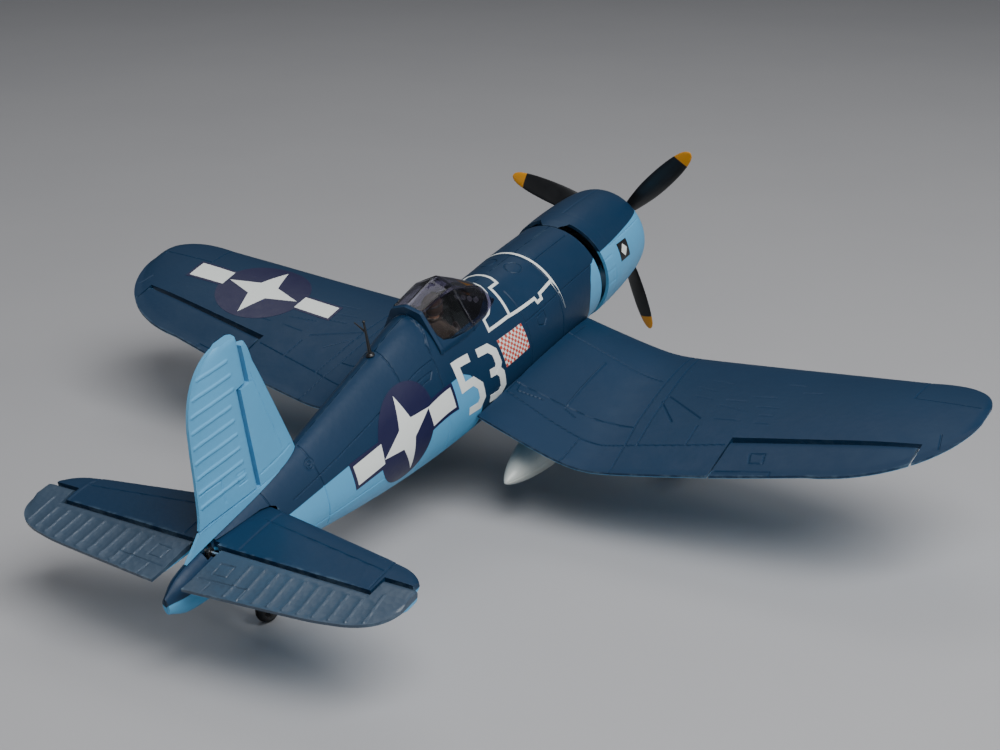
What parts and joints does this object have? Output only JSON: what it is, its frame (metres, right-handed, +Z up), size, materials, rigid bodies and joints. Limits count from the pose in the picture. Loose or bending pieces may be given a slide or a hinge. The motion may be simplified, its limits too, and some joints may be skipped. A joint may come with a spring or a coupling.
{
  "type": "rc warbird plane",
  "caption": "Micro foam radio-controlled fighter with an inverted gull wing, spinning propeller, linked control surfaces and rolling wheels.",
  "frame": {"origin": "on the ground under the middle of the whole plane, tail-down on its three wheels", "axes": "+Z up, nose toward -Y, +X to port"},
  "size_m": [0.3994, 0.317, 0.1271],
  "materials": {
    "alloy": "machined or painted alloy",
    "battery": "shrink-wrapped pack",
    "black": "black moulded nylon, satin",
    "board": "coated circuit board",
    "carbon": "pultruded carbon tube",
    "clear": "clear vacuum-formed sheet, glossy",
    "cockpit": "dark moulded, matte",
    "foam_navy": "moulded foam, satin dark blue paint",
    "foam_sky": "moulded foam, satin light blue paint",
    "grey": "pale grey moulded plastic",
    "pilot": "painted figure, matte",
    "plywood": "light plywood",
    "rubber": "black foam rubber, matte",
    "steel": "drawn steel"
  },
  "bodies": {
    "airframe": {"fuselage_left": "foam_navy", "fuselage_right": "foam_navy", "canopy": "clear", "cockpit_tub": "cockpit", "pilot": "pilot", "antenna_mast": "black", "wing_left": "foam_navy", "wing_right": "foam_navy", "wing_joiner": "carbon", "aileron_servo_left": "black", "aileron_servo_right": "black", "stabiliser": "foam_navy", "elevator_servo": "black", "fin": "foam_sky", "rudder_servo": "black", "tail_bush": "black", "cowl": "foam_navy", "dummy_engine": "grey", "firewall": "plywood", "motor_stator": "alloy", "battery": "battery", "receiver": "board", "gear_strut_left": "grey", "gear_strut_right": "grey", "axle_left": "steel", "axle_right": "steel", "drop_tank_left": "grey", "drop_tank_right": "grey", "pylon_left": "foam_navy", "pylon_right": "foam_navy"},
    "propeller_group": {"propeller": "black", "spinner_nut": "black", "prop_shaft": "steel", "motor_bell": "black"},
    "elevators": {"elevator_left": "foam_navy", "elevator_right": "foam_navy", "elevator_joiner": "steel", "elevator_horn": "black"},
    "elevator_servo_arm": {"elevator_arm": "black"},
    "elevator_rod": {"elevator_pushrod": "steel"},
    "rudder_group": {"rudder": "foam_sky", "rudder_post": "steel", "rudder_horn": "black"},
    "rudder_servo_arm": {"rudder_arm": "black"},
    "rudder_rod": {"rudder_pushrod": "steel"},
    "tail_wheel": {"tail_tyre": "rubber", "tail_hub": "black"},
    "hatch": {"battery_hatch": "foam_navy"},
    "aileron_left_group": {"aileron_left": "foam_navy", "aileron_horn_left": "black"},
    "aileron_servo_arm_left": {"aileron_arm_left": "black"},
    "aileron_rod_left": {"aileron_pushrod_left": "steel"},
    "main_wheel_left": {"tyre_left": "rubber", "wheel_hub_left": "alloy"},
    "aileron_right_group": {"aileron_right": "foam_navy", "aileron_horn_right": "black"},
    "aileron_servo_arm_right": {"aileron_arm_right": "black"},
    "aileron_rod_right": {"aileron_pushrod_right": "steel"},
    "main_wheel_right": {"tyre_right": "rubber", "wheel_hub_right": "alloy"}
  },
  "joints": [
    {"name": "propeller_spin", "type": "hinge", "parent": "airframe", "child": "propeller_group", "pos_m": [0, -0.14723, 0.08917], "axis": [0, -0.9781, 0.2079], "continuous": true},
    {"name": "aileron_left_hinge", "type": "hinge", "parent": "airframe", "child": "aileron_left_group", "pos_m": [0.1133, -0.0292, 0.04324], "axis": [0.9804, -0.0994, 0.1698], "range_deg": [-20, 20]},
    {"name": "aileron_servo_arm_left_turn", "type": "hinge", "parent": "airframe", "child": "aileron_servo_arm_left", "pos_m": [0.125, -0.05125, 0.05011], "axis": [1, 0, 0], "range_deg": [-20.5, 20.5]},
    {"name": "aileron_rod_left_slide", "type": "slide", "parent": "airframe", "child": "aileron_rod_left", "axis": [0, 0.9781, -0.2079], "range_m": [-0.0022, 0.0022]},
    {"name": "main_wheel_left_spin", "type": "hinge", "parent": "airframe", "child": "main_wheel_left", "pos_m": [0.06, -0.09196, 0.0125], "axis": [1, 0, 0], "continuous": true},
    {"name": "aileron_right_hinge", "type": "hinge", "parent": "airframe", "child": "aileron_right_group", "pos_m": [-0.1133, -0.0292, 0.04324], "axis": [0.9804, 0.0994, -0.1698], "range_deg": [-20, 20]},
    {"name": "aileron_servo_arm_right_turn", "type": "hinge", "parent": "airframe", "child": "aileron_servo_arm_right", "pos_m": [-0.125, -0.05125, 0.05011], "axis": [1, 0, 0], "range_deg": [-20.5, 20.5]},
    {"name": "aileron_rod_right_slide", "type": "slide", "parent": "airframe", "child": "aileron_rod_right", "axis": [0, 0.9781, -0.2079], "range_m": [-0.0022, 0.0022]},
    {"name": "main_wheel_right_spin", "type": "hinge", "parent": "airframe", "child": "main_wheel_right", "pos_m": [-0.06, -0.09196, 0.0125], "axis": [1, 0, 0], "continuous": true},
    {"name": "elevator_hinge", "type": "hinge", "parent": "airframe", "child": "elevators", "pos_m": [0, 0.13683, 0.03942], "axis": [1, 0, 0], "range_deg": [-20, 20]},
    {"name": "elevator_servo_arm_turn", "type": "hinge", "parent": "airframe", "child": "elevator_servo_arm", "pos_m": [-0.0017, 0.02317, 0.06358], "axis": [1, 0, 0], "range_deg": [-20.5, 20.5]},
    {"name": "elevator_rod_slide", "type": "slide", "parent": "airframe", "child": "elevator_rod", "axis": [0, 0.9781, -0.2079], "range_m": [-0.0019, 0.0019]},
    {"name": "rudder_hinge", "type": "hinge", "parent": "airframe", "child": "rudder_group", "pos_m": [0, 0.11269, 0.05375], "axis": [0, 0.2079, 0.9781], "range_deg": [-20, 20]},
    {"name": "rudder_servo_arm_turn", "type": "hinge", "parent": "airframe", "child": "rudder_servo_arm", "pos_m": [0, 0.03471, 0.05049], "axis": [0, 0.2079, 0.9781], "range_deg": [-20.5, 20.5]},
    {"name": "rudder_rod_slide", "type": "slide", "parent": "airframe", "child": "rudder_rod", "axis": [0, 0.9781, -0.2079], "range_m": [-0.0012, 0.0012]},
    {"name": "tail_wheel_spin", "type": "hinge", "parent": "rudder_group", "child": "tail_wheel", "pos_m": [0, 0.10693, 0.0055], "axis": [1, 0, 0], "continuous": true},
    {"name": "battery_hatch_lift_off", "type": "slide", "parent": "airframe", "child": "hatch", "axis": [0, -0.2079, -0.9781], "range_m": [0, 0.025]}
  ],
  "couplings": [
    {"joint": "aileron_right_hinge", "follows": "aileron_left_hinge", "ratio": -1},
    {"joint": "aileron_servo_arm_left_turn", "follows": "aileron_left_hinge", "ratio": 0.98},
    {"joint": "aileron_servo_arm_right_turn", "follows": "aileron_left_hinge", "ratio": -0.98},
    {"joint": "aileron_rod_left_slide", "follows": "aileron_left_hinge", "m_per_rad": 0.00588},
    {"joint": "aileron_rod_right_slide", "follows": "aileron_left_hinge", "m_per_rad": -0.00588},
    {"joint": "elevator_servo_arm_turn", "follows": "elevator_hinge", "ratio": 1},
    {"joint": "elevator_rod_slide", "follows": "elevator_hinge", "m_per_rad": 0.005},
    {"joint": "rudder_servo_arm_turn", "follows": "rudder_hinge", "ratio": 1},
    {"joint": "rudder_rod_slide", "follows": "rudder_hinge", "m_per_rad": 0.003}
  ]
}
